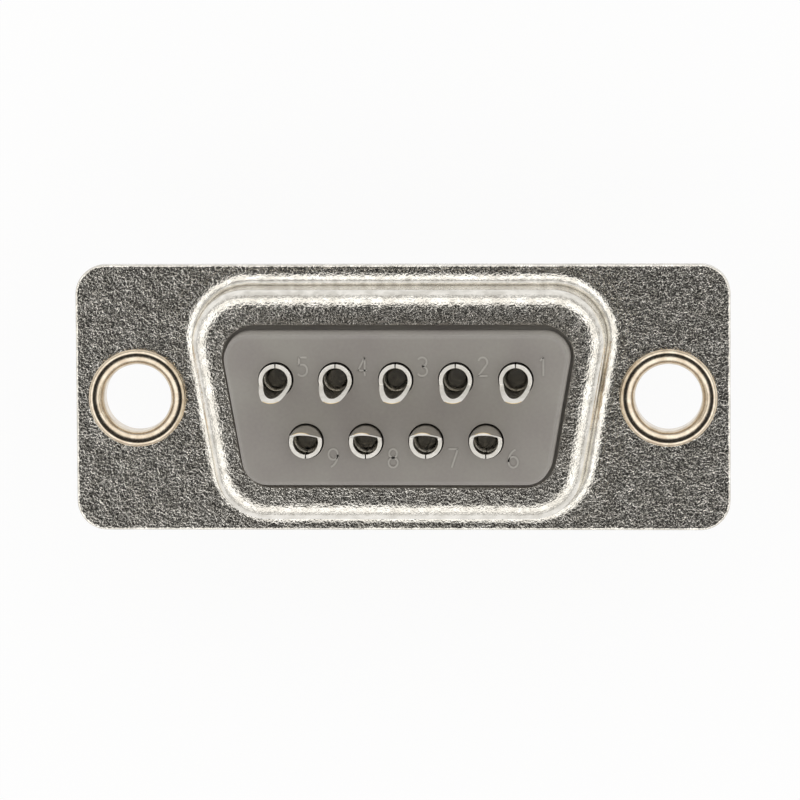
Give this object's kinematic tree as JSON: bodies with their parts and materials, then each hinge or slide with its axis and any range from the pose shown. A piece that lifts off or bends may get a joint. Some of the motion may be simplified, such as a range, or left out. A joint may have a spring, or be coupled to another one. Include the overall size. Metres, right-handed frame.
{
  "type": "d-subminiature plug connector",
  "caption": "D-shaped cable plug with solder cups: pins in a drawn steel shroud, two flanged shells, a moulded insulator and eyelets for its screws.",
  "frame": {"origin": "middle of the two screw holes, on the mating face of the flange", "axes": "+X along the long side, towards contact 1; +Y towards the long row; +Z towards the solder side"},
  "size_m": [0.0308, 0.0126, 0.0158],
  "materials": {
    "plated_steel": "tin plated, bright, with fine grain",
    "grey_moulding": "moulded, satin",
    "eyelet_metal": "nickel plated, bright",
    "contact_metal": "tin plated, bright"
  },
  "bodies": {
    "root": {"rear_shell": "plated_steel", "front_shell": "plated_steel", "rear_insulator": "grey_moulding", "front_insulator": "grey_moulding", "eyelets": "eyelet_metal", "contact_1": "contact_metal", "contact_2": "contact_metal", "contact_3": "contact_metal", "contact_4": "contact_metal", "contact_5": "contact_metal", "contact_6": "contact_metal", "contact_7": "contact_metal", "contact_8": "contact_metal", "contact_9": "contact_metal"}
  },
  "joints": []
}
